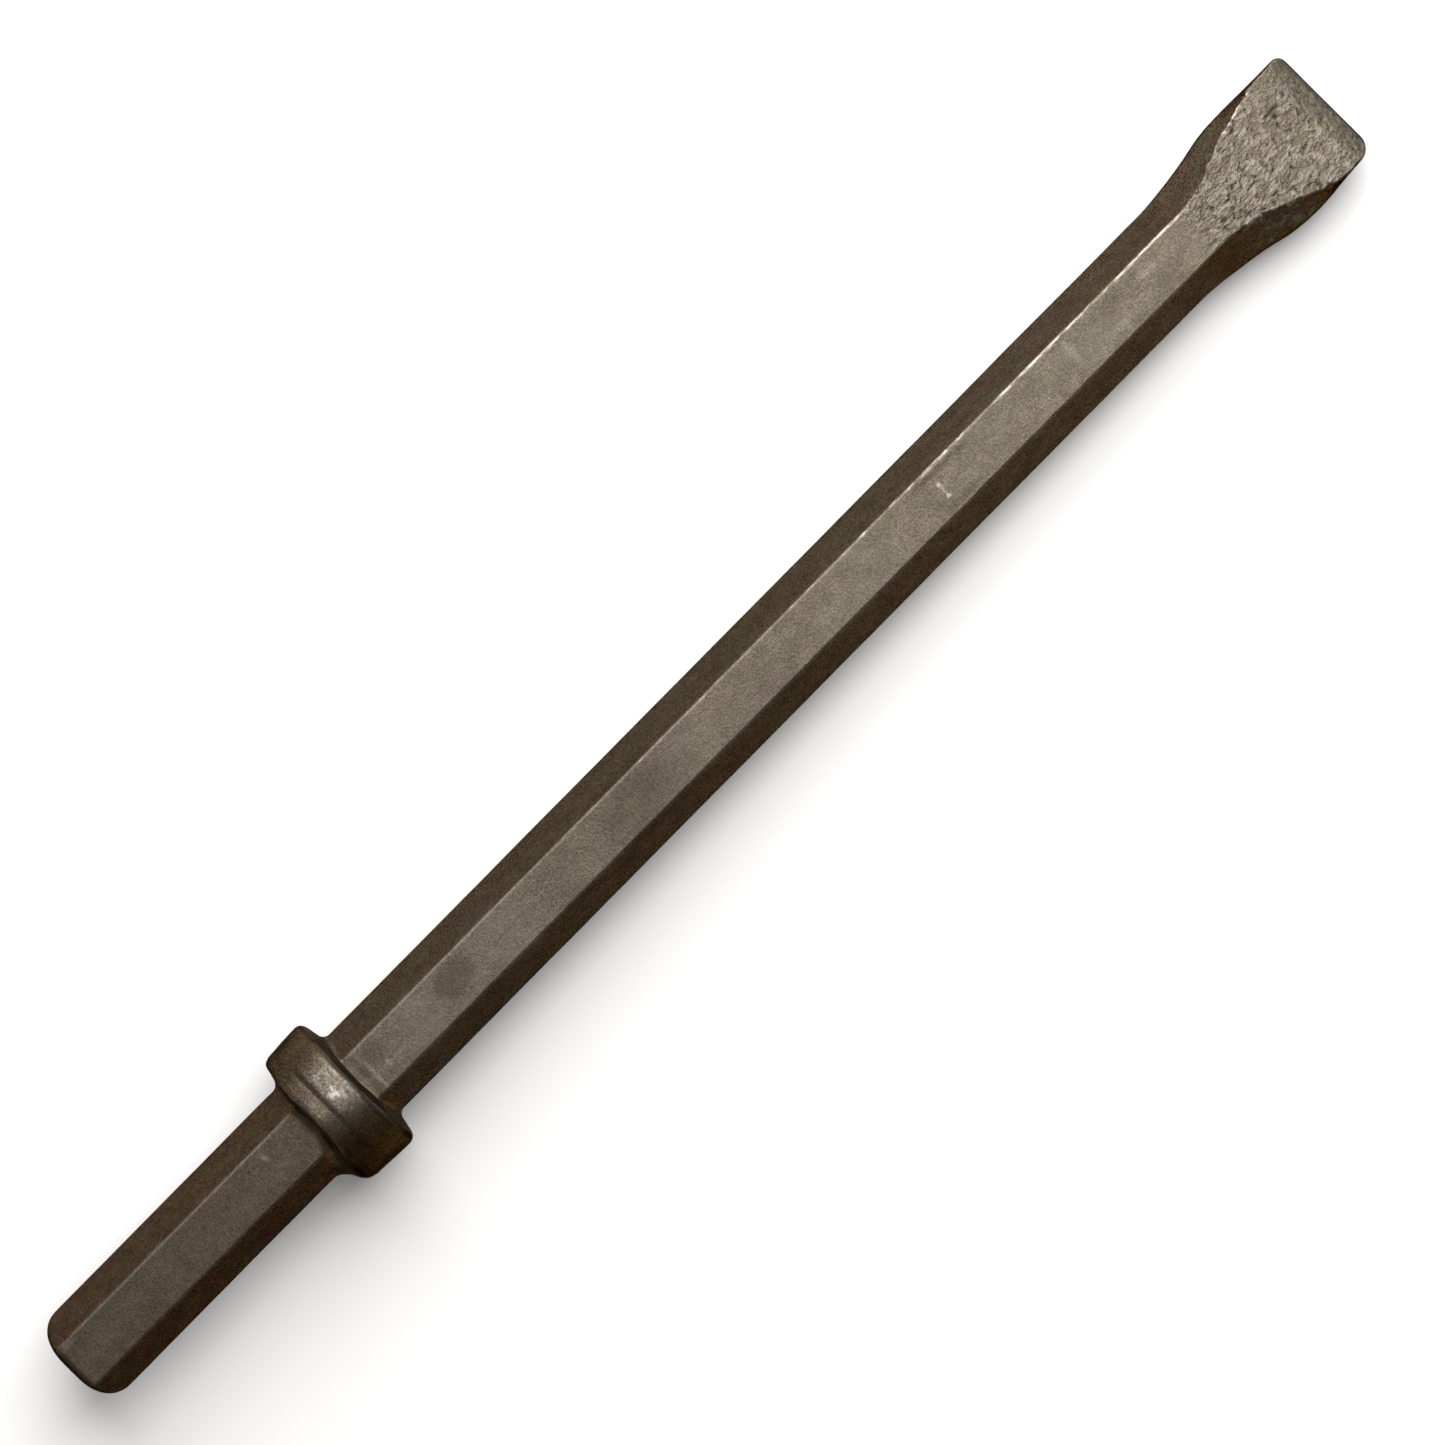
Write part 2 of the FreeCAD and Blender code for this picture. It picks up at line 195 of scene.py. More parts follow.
def ring_places(counts):
    """Where each vertex of a ring lies, from 0 to RING_STEPS."""
    half = RING_STEPS // 2
    quarter = np.concatenate([i + np.arange(n) / n for i, n in enumerate(counts)] + [[half / 2]])
    return np.concatenate([quarter[:-1], half - quarter[:0:-1],
                           half + quarter[:-1], RING_STEPS - quarter[:0:-1]])


def folded_places(counts):
    """The same, folded into one quarter: 0 at the middle of a broad face and 4 at a ridge."""
    half = RING_STEPS // 2
    around = ring_places(counts) % half
    return np.minimum(around, half - around)


def edge_wear_and_painted_highlight(counts, reach):
    """How much each column can be rubbed bright: the corners can, and the upper +Y one the most, where part
    of it is a painted highlight on the edge that faces the key light.

    The wear reaches this share of the broad face in from its corner.
    """
    folded = folded_places(counts)
    corner = smooth(folded, 1 - reach, 1 + 0.3 * reach) * (1 - smooth(folded, 1.6, 2.0))
    ridge = smooth(folded, 2.95, 3.1)
    upper_quarter = ring_places(counts) < RING_STEPS / 4
    # the upper +Y corner takes the full amount, partly a painted highlight on the edge that faces the key
    # light
    return np.maximum(corner * np.where(upper_quarter, 1.0, 0.15), 0.15 * ridge)


def collar_weight(x):
    """1 along the collar and its roots, 0 elsewhere along the bar."""
    return band(x, SEAT_X - 0.5, RETAINER_X + 0.6, 1.5)


def bar_edge(grid):
    """The bar's corners can be rubbed bright all along, except on the collar; on the upper +Y corner part
    of it is painted highlight.
    """
    return edge_wear_and_painted_highlight(BAR_COUNTS, 0.2) * (1 - collar_weight(grid[..., 0]))


def blade_edge(grid):
    """The wear stops where the blade begins, and comes back in spots near the end of its boundary, where it
    paints broken highlights as well.
    """
    x = grid[..., 0]
    spots = smooth(value_noise(grid, 1.1, 53), 0.0, 0.35) * band(x, TIP_X - 23, TIP_X - 11, 4)
    plain = 1 - smooth(x, TIP_X - 46.5, TIP_X - 44.5)
    return edge_wear_and_painted_highlight(BLADE_COUNTS, 0.07) * np.maximum(plain, 0.85 * spots)


def grid_normals(grid):
    """The outward unit normal at each vertex of a grid."""
    along = np.gradient(grid, axis=0)
    around = np.roll(grid, -1, axis=1) - np.roll(grid, 1, axis=1)
    normal = np.cross(along, around)
    return normal / np.maximum(np.linalg.norm(normal, axis=-1, keepdims=True), 1e-9)


# ---------------------------------------------------------------- the struck end and the collar
def struck_end_rows(hex_rad, angle):
    """Profiles of the rounded end, one for each column: from near the disc's centre on to the flats.

    The end is turned, but hammering has squared it: it is rounded less at the upper and lower corners,
    and least of all above and below.
    """
    dome_x = math.sqrt(DOME_RAD ** 2 - DISC_RAD ** 2)
    corner_r = HEX_SIDE - END_CORNER_RAD
    corner_x = dome_x - math.sqrt((DOME_RAD - END_CORNER_RAD) ** 2 - corner_r ** 2)
    meet = math.atan2(corner_r, dome_x - corner_x)
    meet_r = DOME_RAD * math.sin(meet)
    steep = np.abs(np.sin(angle))
    squared = hex_rad - HAMMERED_IN * smooth(steep, 0.2, 0.86) * (1 - smooth(steep, 0.86, 1.0))
    xs, rs = [], []
    for r in DISC_ROWS:
        xs.append(0 * squared)
        rs.append(0 * squared + r)
    for r in np.linspace(DISC_RAD, meet_r, 7)[:-1]:
        xs.append(0 * squared + dome_x - math.sqrt(DOME_RAD ** 2 - r ** 2))
        rs.append(0 * squared + r)
    last = np.arcsin(np.clip((squared - corner_r) / END_CORNER_RAD, 0, 1))
    for t in np.linspace(0, 1, 15):
        turn = meet + t * (last - meet)
        xs.append(corner_x - END_CORNER_RAD * np.cos(turn))
        rs.append(corner_r + END_CORNER_RAD * np.sin(turn))
    flattening = 1 - HAMMERED_FLAT * smooth(steep, 0.5, 0.95)
    xs = [row * flattening for row in xs]
    start, stop = xs[-1], corner_x + END_LENGTH
    for t in (np.arange(1, 9) / 8) ** 1.3:
        xs.append(start + t * (stop - start))
        rs.append(squared)
    x, r = np.array(xs), np.array(rs) * hex_rad / squared
    for rows in (x, r):  # soften the turns of the profile
        rows[4:-1] = (rows[3:-2] + 2 * rows[4:-1] + rows[5:]) / 4
    return x, r


def arc_rows(x, r, radius, start, end, count):
    """Rows of an arc about (x, r). Angles are in degrees, from +X towards +r."""
    turn = np.radians(np.linspace(start, end, count))[:, None]
    return x + radius * np.cos(turn), r + radius * np.sin(turn)


def crown_rows(seat_edge, front_edge, across):
    """The crown between its two edges: it rises towards the front, in part by a step at the seam."""
    along = (np.arange(1, 34) / 34)[:, None]
    x = seat_edge[0] + along * (front_edge[0] - seat_edge[0])
    step = smooth(x, SEAT_X + SEAM_BACK - 0.4, SEAT_X + SEAM_BACK + 1.2)
    step_share = 0.6 * (1 - smooth(np.abs(across), 0.45, 0.8))
    rise = (1 - step_share) * smooth(along, -0.6, 1.0) + step_share * step
    return x, seat_edge[1] + rise * (front_edge[1] - seat_edge[1])


def joined_rows(*pieces):
    """The X rows of all the pieces one after another, and their r rows."""
    return (np.concatenate([piece[i] for piece in pieces]) for i in (0, 1))


def seat_rows(hex_rad, across, around):
    """The collar's seat side: root, face and corner. Its face slants, and lies past the CAD's seat."""
    away = smooth(-across, 0.1, 1.0)
    bulge = smooth(across, 0.2, 0.5) * (1 - smooth(across, 0.75, 0.95))
    face = SEAT_X + 2.6 + 0.6 * across * (across > 0) - 0.35 * bulge - 2.1 * away
    face = face + 0.15 * fractal(around, 9, 11)
    root = 2.2 + 1.1 * away
    corner = 0.9 + 0.4 * np.abs(across) + 1.2 * away
    draft = 0.4 + 0.9 * np.abs(across) + 0.7 * away
    rim = COLLAR_RAD - 0.55 + 0.12 * fractal(around, 14, 14)
    reach = (np.arange(1, 6) / 6)[:, None]
    low, high = hex_rad + root, rim - corner
    x, r = joined_rows(arc_rows(face - root, low, root, -90, 0, 12),
                       (face + 0 * reach, low + reach * (high - low)),
                       arc_rows(face + corner, high, corner, 180, 90, 11))
    return x - draft * (1 - smooth(r, hex_rad + 0.5, rim)), r


def front_rows(hex_rad, across, around):
    """The collar's front side: corner, face and root."""
    face = RETAINER_X - 0.8 + 0.2 * across ** 2 + 0.15 * fractal(around, 11, 12)
    corner = 2.0
    root = 0.6 + 1.3 * across ** 2
    draft = 0.4 + 0.6 * across ** 2
    rim = COLLAR_RAD - 0.05 + 0.12 * fractal(around, 14, 15)
    reach = (np.arange(1, 6) / 6)[:, None]
    low, high = rim - corner, hex_rad + root
    x, r = joined_rows(arc_rows(face - corner, low, corner, 90, 0, 13),
                       (face + 0 * reach, low + reach * (high - low)),
                       arc_rows(face + root, high, root, 180, 270, 9))
    return x + draft * (1 - smooth(r, hex_rad + 0.5, rim)), r


def collar_rows(hex_rad, angle):
    """Profiles of the collar, one for each column: seat side, crown and front side."""
    across = np.cos(angle)  # 1 on the +Y side, -1 on the -Y side
    around = np.stack([np.cos(angle), np.sin(angle), 0 * angle], axis=-1) * COLLAR_RAD
    seat = seat_rows(hex_rad, across, around)
    front = front_rows(hex_rad, across, around)
    crown = crown_rows((seat[0][-1], seat[1][-1]), (front[0][0], front[1][0]), across)
    return joined_rows(seat, crown, front)


def bar_grid():
    """The skin from the struck end to the blade's neck, as an array of rows, columns and X, Y, Z."""
    hex_y, hex_z = ring_section([HEX_FACE], [HEX_SIDE], [HEX_HALF], [HEX_CORNER], [HEX_CORNER],
                                BAR_COUNTS, 1.5)
    hex_rad, angle = np.hypot(hex_y[0], hex_z[0]), np.arctan2(hex_z[0], hex_y[0])
    end_x, end_r = struck_end_rows(hex_rad, angle)
    collar_x, collar_r = collar_rows(hex_rad, angle)
    shank_from, shank_to = end_x[-1], collar_x[0]
    body_from = collar_x[-1]
    reach = np.append(np.arange(1, 31) / 31, 0.993)[:, None]  # the last row keeps the root's start crisp
    shank_x = shank_from + reach * (shank_to - shank_from)
    reach = (np.arange(1, 113) / 113)[:, None]
    body_x = body_from + reach * (NECK_X - body_from)
    x = np.concatenate([end_x, shank_x, collar_x, body_x])
    r = np.concatenate([end_r, shank_x * 0 + hex_rad, collar_r, body_x * 0 + hex_rad])
    return np.stack([x, r * np.cos(angle), r * np.sin(angle)], axis=-1)


def blade_grid():
    """The skin of the blade, from its neck to the land of the cutting edge."""
    neck = np.linspace(NECK_X, TIP_X - ROUGH_BACK, 12)[:-1]
    body = np.linspace(TIP_X - ROUGH_BACK, TIP_X - EDGE_BACK, 190)
    tip = TIP_X - EDGE_BACK * (1 - np.linspace(0, 1, 29)[1:]) ** 1.25
    x = np.concatenate([neck, body, tip])
    back = [TIP_X - row[0] for row in BLADE_SECTIONS]
    face, side, half, corner, ridge, face_lean, ridge_lean = (
        curve_through(x, back, [row[i] for row in BLADE_SECTIONS]) for i in range(1, 8))
    full_half = half
    bevel = LAND_HALF + (TIP_X - x) * BEVEL_SLOPE
    half = -np.log(np.exp(-half * 6) + np.exp(-bevel * 6)) / 6  # a slightly rounded bevel shoulder
    half[-2:] = (LAND_HALF * 0.97, LAND_HALF * 0.6)
    corner = np.minimum(corner, half * 0.55)
    ridge = np.minimum(ridge, half * 0.75)
    y, z = ring_section(face, side, half, corner, ridge, BLADE_COUNTS, 1.1)
    for sign, radius in zip((1, -1), TIP_CORNER_RADS):
        into = np.clip((x - TIP_X + radius) / radius, 0, 1)
        limit = (side - radius * (1 - np.sqrt(1 - into ** 2))) / side
        y = np.where(sign * y > 0, y * limit[:, None], y)
    lean = ridge_lean[:, None] + (face_lean - ridge_lean)[:, None] * np.abs(z) / full_half[:, None]
    return np.stack([np.broadcast_to(x[:, None], y.shape), y + lean, z], axis=-1)


# ---------------------------------------------------------------- mesh
def stitch(first, second, first_places, second_places):
    """Triangles between two rings of different counts, walking both in step."""
    faces = []
    i = j = 0
    n, m = len(first), len(second)
    while i < n or j < m:
        next_i = first_places[i + 1] if i + 1 < n else RING_STEPS
        next_j = second_places[j + 1] if j + 1 < m else RING_STEPS
        if j >= m or (i < n and next_i <= next_j):
            faces.append((first[i % n], second[j % m], first[(i + 1) % n]))
            i += 1
        else:
            faces.append((first[i % n], second[j % m], second[(j + 1) % m]))
            j += 1
    return faces


def grid_quads(index):
    """Quads between neighbouring rings, from the vertex numbers of a grid."""
    following = np.roll(index, -1, axis=1)
    quads = np.stack([index[:-1], index[1:], following[1:], following[:-1]], axis=-1)
    return quads.reshape(-1, 4).tolist()


def skin_faces(bar_shape, blade_shape):
    """Faces of the closed skin: bar, blade, stitched neck, the disc's fan and the strip on the land."""
    bar_size, blade_size = math.prod(bar_shape), math.prod(blade_shape)
    bar = np.arange(bar_size).reshape(bar_shape)
    blade = np.arange(blade_size).reshape(blade_shape) + bar_size
    faces = grid_quads(bar) + grid_quads(blade)
    faces += stitch(bar[-1].tolist(), blade[0].tolist(), ring_places(BAR_COUNTS),
                    ring_places(BLADE_COUNTS))
    centre = bar_size + blade_size
    first = bar[0].tolist()
    faces += [(centre, this, other) for this, other in zip(first, first[1:] + first[:1])]
    last = blade[-1].tolist()
    n = len(last) // 4
    for k in range(n):
        right = [last[k], last[2 * n - k], last[2 * n - k - 1], last[k + 1]]
        left = [last[(4 * n - k) % (4 * n)], last[4 * n - k - 1], last[2 * n + k + 1], last[2 * n + k]]
        faces += [list(dict.fromkeys(right)), list(dict.fromkeys(left))]
    return faces


def make_mesh(name, points, faces, attributes):
    """A smooth mesh object from points in millimetres, with a value per vertex for each attribute."""
    mesh = bpy.data.meshes.new(name)
    mesh.from_pydata((points * MM).tolist(), [], faces)
    mesh.update()
    mesh.shade_smooth()
    for key, values in attributes.items():
        layer = mesh.attributes.new(key, "FLOAT", "POINT")
        layer.data.foreach_set("value", values.astype(np.float32))
    piece = bpy.data.objects.new(name, mesh)
    bpy.context.scene.collection.objects.link(piece)
    return piece


# ---------------------------------------------------------------- forging marks
def axis_distance(grid):
    """How far each vertex is from the bar's axis."""
    return np.hypot(grid[..., 1], grid[..., 2])


def forging_relief(grid):
    """The soft waviness that forging leaves everywhere."""
    return 0.05 * fractal(grid, 24, 21) + 0.012 * fractal(grid, 4, 24)


def crown_weight(grid):
    """1 on the top and the underside of the collar's crown, 0 at its sides and off the crown."""
    outside = smooth(axis_distance(grid), COLLAR_RAD - 2.0, COLLAR_RAD - 1.2)
    return outside * (1 - smooth(np.abs(grid[..., 1]), 0.5 * COLLAR_RAD, 0.75 * COLLAR_RAD))


def bar_relief(grid):
    """How far the bar's skin stands in or out: waviness, a lumpy collar and the seam round its crown."""
    x = grid[..., 0]
    lumps = 0.07 * fractal(grid, 6, 31) + 0.03 * fractal(grid, 2, 34)
    relief = forging_relief(grid) + collar_weight(x) * lumps
    seam = SEAT_X + SEAM_BACK + 0.3 * value_noise(grid, 5.0, 35)
    depth = 0.045 + 0.04 * value_noise(grid, 3.0, 36)
    return relief - depth * crown_weight(grid) * np.exp(-((x - seam) / 0.45) ** 2)


def crown_polish_and_painted_highlight(grid):
    """Where the collar has been rubbed by the tool's retainer: its crown, past the seam most of all. Across
    the top, towards +Y, it is also a painted highlight where the crown reflects the key light.
    """
    x = grid[..., 0]
    past_seam = smooth(x, SEAT_X + SEAM_BACK, SEAT_X + SEAM_BACK + 1.5)
    ragged = grid[..., 1] + 2.0 * past_seam + 1.2 * value_noise(grid, 2.2, 37)
    # the band across the top, towards +Y, is where the crown reflects the key light: partly painted
    # highlight
    worn = crown_weight(grid) * smooth(ragged, -2.6, 0.4) * (1 - 0.5 * smooth(ragged, 8.5, 12))
    return worn * (0.3 + 0.7 * past_seam) * band(x, SEAT_X, RETAINER_X - 2.5, 1)


def struck_polish(grid):
    """Where the striking face has been hammered bright: the middle of the rounded end."""
    return 1.6 * (1 - smooth(axis_distance(grid), 3.5, 8.0)) * (grid[..., 0] < 2)


def painted_flank_shading(x, across):
    """Painted light and shade on the flanks, by the way they face the key light: those to +Y are light on
    the shank and dark on the body, those to -Y are dark.
    """
    on_body = smooth(x, RETAINER_X - 1, RETAINER_X + 1)
    toward = 0.16 - on_body * (0.34 - 0.08 * smooth(x, 250, 350))
    away = -0.19 - on_body * (0.16 - 0.2 * smooth(x, 110, 350))
    return 1 + np.where(across > 0, toward, away) * np.abs(across)


def painted_crown_shading(x, across, on_crown):
    """Painted shade on the collar's crown, by the way it faces: darker to both sides, the -Y one most, and
    less so at its outermost part.
    """
    # painted shade on the -Y side, a little less past the seam
    painted_shade_away = 0.55 - 0.15 * smooth(x, SEAT_X + SEAM_BACK, SEAT_X + SEAM_BACK + 2)
    painted_shade_away = painted_shade_away * (1 - 0.75 * smooth(-across, 0.7, 0.95))
    painted_shade_toward = 0.14 * smooth(across, 0.3, 0.5) + 0.12 * smooth(across, 0.5, 0.75)
    sides = 1 - on_crown * (painted_shade_away * smooth(-across, 0.15, 0.5) + painted_shade_toward)
    # a painted lift where the crown's sides face straight out to +Y and -Y
    return sides * (1 + 0.35 * on_crown * smooth(np.abs(across), 0.76, 0.95))


def painted_front_shade(x, radius, normal):
    """Painted shade on the collar's front root and front corner: darker where they face up."""
    upward = smooth(np.abs(normal[..., 2]), 0.75, 0.95)
    root = band(x, RETAINER_X - 1.0, RETAINER_X + 1.2, 0.9) * (radius < COLLAR_RAD - 2)
    corner = band(x, RETAINER_X - 4.0, RETAINER_X, 0.8) * (radius > COLLAR_RAD - 2)
    corner = corner * smooth(normal[..., 0], 0.02, 0.3) * smooth(normal[..., 2], 0.5, 0.8)
    return (1 + root * (0.05 - 0.6 * upward)) * (1 - 0.4 * corner)


def painted_seat_light(grid, across, radius):
    """Painted light on the collar's seat face, which lies in shade: a light strip on top, lighter sides and
    a lighter corner by the crown.
    """
    x, off_axis = grid[..., 0], np.abs(grid[..., 1])
    on_face = radius < COLLAR_RAD - 3
    strip_x = x + 0.25 * value_noise(grid, 1.2, 38)
    strip = band(strip_x, SEAT_X + 1.9, SEAT_X + 2.9, 0.5) * on_face * (1 - smooth(off_axis, 5, 8))
    sides = np.where(across > 0, 0.5 * band(x, SEAT_X + 0.9, SEAT_X + 1.7, 0.7),
                     0.45 * band(x, SEAT_X - 1.5, SEAT_X + 1.7, 1.0))
    sides = sides * on_face * smooth(off_axis, 6.2, 7.5)
    corner = band(x, SEAT_X + 1.8, SEAT_X + 3.6, 0.5) * (radius > COLLAR_RAD - 3)
    corner = corner * band(grid[..., 1], -1, 12, 2)
    return (1 + 1.3 * strip) * (1 + sides) * (1 + 0.4 * corner)


def painted_front_face_light(grid, radius, normal, on_crown):
    """Painted light on the collar's front face, where it faces +X: lighter towards its sides, at its rim
    most of all.
    """
    x, off_axis = grid[..., 0], np.abs(grid[..., 1])
    rim = smooth(radius, COLLAR_RAD - 3, COLLAR_RAD - 2) * smooth(off_axis, 12, 15)
    face = smooth(off_axis, 7, 9) * (1 - smooth(radius, COLLAR_RAD - 4, COLLAR_RAD - 3))
    face = face * (x > SEAT_X + 9)
    sideways = smooth(normal[..., 0], 0.15, 0.6) * (1 - on_crown)
    return 1 + sideways * (0.6 * rim + 0.35 * face)


def painted_bar_shading(grid, normal):
    """How much light and shade is painted on the bar, as a factor on its colour."""
    x, across, radius = grid[..., 0], normal[..., 1], axis_distance(grid)
    on_crown = band(x, SEAT_X + 1, RETAINER_X - 1, 0.6) * (radius > COLLAR_RAD - 3)
    mottle_and_painted_shading = painted_flank_shading(x, across) * painted_crown_shading(x, across, on_crown)
    mottle_and_painted_shading = mottle_and_painted_shading * painted_front_shade(x, radius, normal) * painted_seat_light(grid, across, radius)
    return mottle_and_painted_shading * painted_front_face_light(grid, radius, normal, on_crown)


def browning(grid, normal):
    """How brown the scale is: the sides a little, the blade's and the collar's more, the struck end too."""
    x = grid[..., 0]
    on_collar = band(x, SEAT_X, RETAINER_X, 1)
    side = smooth(np.abs(normal[..., 1]), 0.35 - 0.2 * on_collar, 0.75 - 0.2 * on_collar)
    on_shank = 1 - smooth(x, SEAT_X, RETAINER_X)
    dark_side = normal[..., 1] < 0
    on_blade = smooth(x, TIP_X - 55, TIP_X - 40)
    share = 0.6 + 0.25 * on_shank * dark_side + 0.4 * on_collar + 0.6 * on_blade
    struck_end = (1 - smooth(x, 1.5, 3.0)) * (np.abs(normal[..., 0]) > 0.3)
    return np.maximum(side * share, 0.9 * struck_end)


def deep_browning_and_painted_shade(grid, normal):
    """Where the colour is tinted deep brown and darker: in the collar's roots and on the -Y side, least on
    the plain bar; on the -Y side, away from the key light, it is painted shade.
    """
    x, radius = grid[..., 0], axis_distance(grid)
    on_collar = band(x, SEAT_X - 2, RETAINER_X + 1, 1.5)
    seat_root = band(x, SEAT_X, SEAT_X + 2, 0.5)
    front_root = band(x, RETAINER_X - 1.5, RETAINER_X + 0.5, 0.6)
    roots = np.maximum(seat_root, front_root) * (radius < COLLAR_RAD - 1.5)
    roots = roots * (1 - smooth(np.abs(grid[..., 1]), 5, 8))
    on_blade = smooth(x, TIP_X - 55, TIP_X - 42)
    # the -Y side's deeper brown, away from the key light, is painted shade
    side = smooth(-normal[..., 1], 0.2, 0.6) * (0.25 + 0.6 * on_collar + 0.5 * on_blade)
    return np.maximum(side, 0.6 * roots)


def blade_relief(grid, normal):
    """The pitted, worm-marked scale of the forged faces, without the waviness."""
    x = grid[..., 0]
    broad = smooth(np.abs(normal[..., 2]), 0.6, 0.9)
    shoulder = x + 0.9 * value_noise(grid, 2.4, 49)
    rough = smooth(x, TIP_X - 49, TIP_X - 41) * (1 - 0.45 * smooth(shoulder, TIP_X - 5.8, TIP_X - 4.0))
    calm = smooth(grid[..., 1], 7.5, 10.5) * smooth(x, TIP_X - 15, TIP_X - 11)
    rough = rough * (1 - 0.5 * calm)
    rough = rough * (1 - smooth(x, TIP_X - 1.5, TIP_X)) * (0.1 + 0.9 * broad)
    spread = grid * (0.85, 1, 1)
    warped = spread + 0.5 * np.stack([value_noise(spread, 1.3, 41), value_noise(spread, 1.3, 42),
                                      0 * x], axis=-1)
    worms = np.maximum(1 - 3 * np.abs(value_noise(warped, 1.0, 43)), 0)
    worms = np.maximum(worms, 1 - 3 * np.abs(value_noise(warped, 1.0, 44) + 0.1))
    lumps = fractal(warped, 1.45, 45)
    pits = np.minimum(value_noise(warped, 0.85, 47) + 0.35, 0)
    relief = rough * (0.06 * worms + 0.08 * lumps + 0.27 * pits)
    along, across = x - CREASE_X, np.abs(grid[..., 1] - CREASE_Y - 0.3 * value_noise(grid, 1.5, 48))
    crease = band(along, -2.0, 2.0, 0.8) * (1 - smooth(across, 0.1, 0.45)) * (grid[..., 2] > 0)
    return relief - 0.22 * crease


def ragged_corners(grid):
    """Shifts the corners of the blade's faces along Y, so that their line is uneven."""
    x = grid[..., 0]
    folded = folded_places(BLADE_COUNTS)
    near = smooth(folded, 0.9, 1.0) * (1 - smooth(folded, 2.0, 2.5))
    on_blade = smooth(x, TIP_X - 45, TIP_X - 38) * (1 - smooth(x, TIP_X - 14, TIP_X - 9))
    shift = 0.45 * fractal(grid, 2.6, 51) * near * on_blade
    return np.stack([0 * x, shift, 0 * x], axis=-1)


def painted_blade_shading(grid, normal):
    """Painted shade on the blade: less light on the flanks, and least on the -Y one."""
    x, across = grid[..., 0], normal[..., 1]
    on_blade = smooth(x, TIP_X - 55, TIP_X - 42)
    toward = -0.1 - 0.08 * on_blade
    away = -0.17 - 0.28 * on_blade
    return 1 + np.where(across > 0, toward, away) * smooth(np.abs(across), 0.2, 0.8)


def build_chisel():
    """The one piece: a closed mesh that also stores where its steel is worn, rubbed or brown, and the
    light, shade and highlights painted on it.
    """
    bar, blade = bar_grid(), blade_grid()
    blade = blade + ragged_corners(blade)
    grids = (bar, blade)
    normals = [grid_normals(grid) for grid in grids]
    marks = (0 * bar[..., 0], blade_relief(blade, normals[1]))
    waves = (bar_relief(bar), forging_relief(blade))
    skins = [grid + normal * (wave + mark)[..., None]
             for grid, normal, wave, mark in zip(grids, normals, waves, marks)]
    centre = skins[0][0].mean(axis=0)
    points = np.concatenate([skin.reshape(-1, 3) for skin in skins] + [[centre]])
    faces = skin_faces(bar.shape[:2], blade.shape[:2])
    layers = {
        "relief": marks,
        "edge": (bar_edge(bar), blade_edge(blade)),
        "polish_and_painted_highlight": (crown_polish_and_painted_highlight(bar) + struck_polish(bar), 0 * blade[..., 0]),
        # painted light and shade, by the way each part faces the key light
        "mottle_and_painted_shading": (painted_bar_shading(bar, normals[0]), painted_blade_shading(blade, normals[1])),
        "brown": (browning(bar, normals[0]), browning(blade, normals[1])),
        "deep": (deep_browning_and_painted_shade(bar, normals[0]), deep_browning_and_painted_shade(blade, normals[1])),
    }
    attributes = {name: np.concatenate([values.ravel() for values in pair] + [[pair[0][0].mean()]])
                  for name, pair in layers.items()}
    piece = make_mesh("chisel_forging", points, faces, attributes)
    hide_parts("chisel")
    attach(piece, "root")
    return piece


# ---------------------------------------------------------------- material
# Base colours of the metal.
# the shank's darker colour is painted shade, for part of the light's fall-off towards the struck end
SHANK_SCALE_WITH_PAINTED_SHADE = (0.069, 0.0545, 0.0405, 1)
BODY_SCALE = (0.0945, 0.0795, 0.0605, 1)
# painted light on the blade's raised marks, painted shade in its pits; the pit colour also darkens the land
# of the edge
PAINTED_RIDGE_LIGHT = (0.15, 0.135, 0.112, 1)
PAINTED_PIT_SHADE_AND_LAND = (0.03, 0.025, 0.018, 1)
PALE_STAIN = (0.13, 0.118, 0.1, 1)
DARK_STAIN = (0.03, 0.022, 0.018, 1)
GROUND_DARK = (0.083, 0.069, 0.051, 1)
GROUND_LIGHT = (0.275, 0.244, 0.19, 1)
TARNISH = (0.06, 0.048, 0.035, 1)
# bare metal, also painting highlights on the upper +Y edges and the collar's crown
BARE_METAL_AND_PAINTED_HIGHLIGHT = (0.42, 0.385, 0.335, 1)
GRAZING_TINT = (0.03, 0.015, 0.0, 1)

# Tints that multiply the colour of the scale.
PURPLE_CLOUD, OLIVE_CLOUD = (1.02, 0.97, 1.02, 1), (0.97, 1.01, 0.94, 1)
BROWN, DEEP_BROWN_AND_PAINTED_SHADE = (1.03, 0.93, 0.84, 1), (0.97, 0.8, 0.55, 1)
RUST, RUST_GAP = (1.07, 0.95, 0.92, 1), (0.93, 1.03, 0.95, 1)

